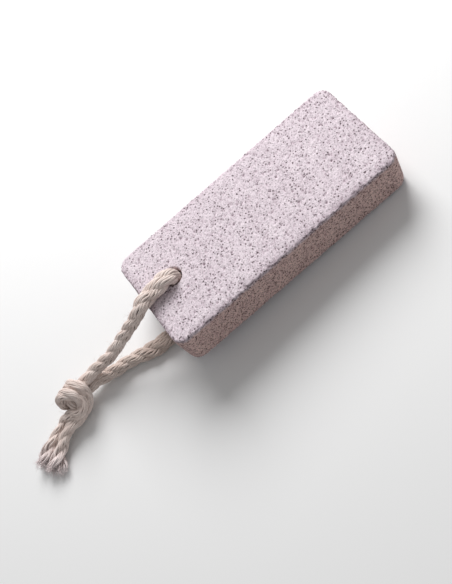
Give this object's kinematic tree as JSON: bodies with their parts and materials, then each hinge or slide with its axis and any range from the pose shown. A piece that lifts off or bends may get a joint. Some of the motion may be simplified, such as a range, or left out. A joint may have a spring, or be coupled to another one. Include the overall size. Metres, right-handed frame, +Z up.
{
  "type": "pumice stone on a cord",
  "caption": "Rounded block of open-pored pumice for rubbing skin, with a bore near one end and a loop of cotton cord tied in an overhand knot.",
  "frame": {"origin": "on the surface that the part lies on, under the middle of the stone", "axes": "+X along the stone, away from the cord; +Y across the stone; +Z up from the surface"},
  "size_m": [0.1732, 0.044, 0.0297],
  "materials": {
    "pumice": "open-pored pumice, dry and matt, lilac grey with small dark pores",
    "cotton_cord": "undyed three-strand cotton cord, softly laid, warm grey beige"
  },
  "bodies": {
    "root": {"stone": "pumice", "cord_upper": "cotton_cord", "cord_lower": "cotton_cord", "cord_knot": "cotton_cord", "cord_tail_upper": "cotton_cord", "cord_tail_lower": "cotton_cord"}
  },
  "joints": []
}
